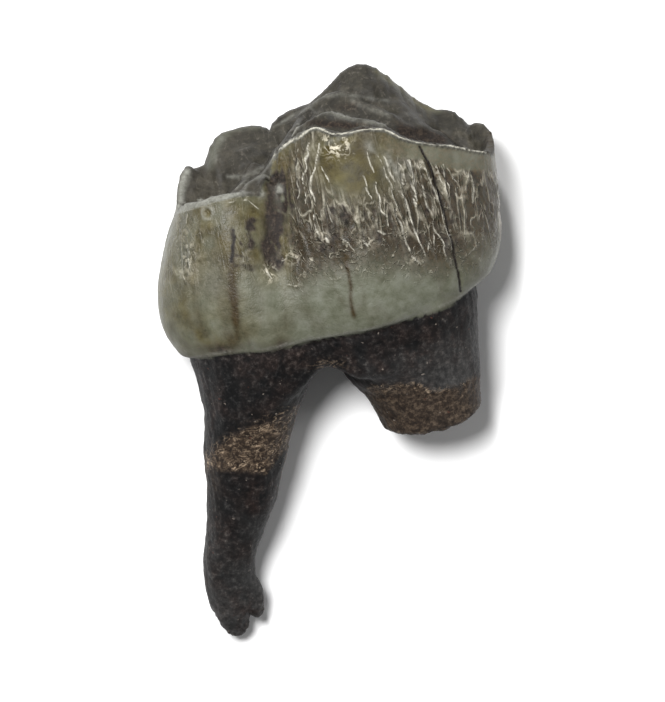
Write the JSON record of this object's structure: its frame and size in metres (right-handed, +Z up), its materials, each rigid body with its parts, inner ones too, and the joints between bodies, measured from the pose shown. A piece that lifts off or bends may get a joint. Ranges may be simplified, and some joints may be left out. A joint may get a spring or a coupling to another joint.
{
  "type": "fossil deer tooth",
  "caption": "Fossil lower cheek tooth of a deer lying on its side: ridged enamel crown with crescent cusps, a long root with a broken tip and a short broken root.",
  "frame": {"origin": "centre of the bottom of the bounding box, on the surface that the tooth lies on", "axes": "+X along the tooth row as it was laid, +Y up the tooth from the root tip to the chewing surface, +Z up from the surface it lies on, out of its cheek side"},
  "size_m": [0.0258, 0.043, 0.0138],
  "materials": {
    "tooth": "stained fossil enamel, semi-gloss on the crown, dull dark roots"
  },
  "bodies": {
    "root": {"tooth": "tooth"}
  },
  "joints": []
}
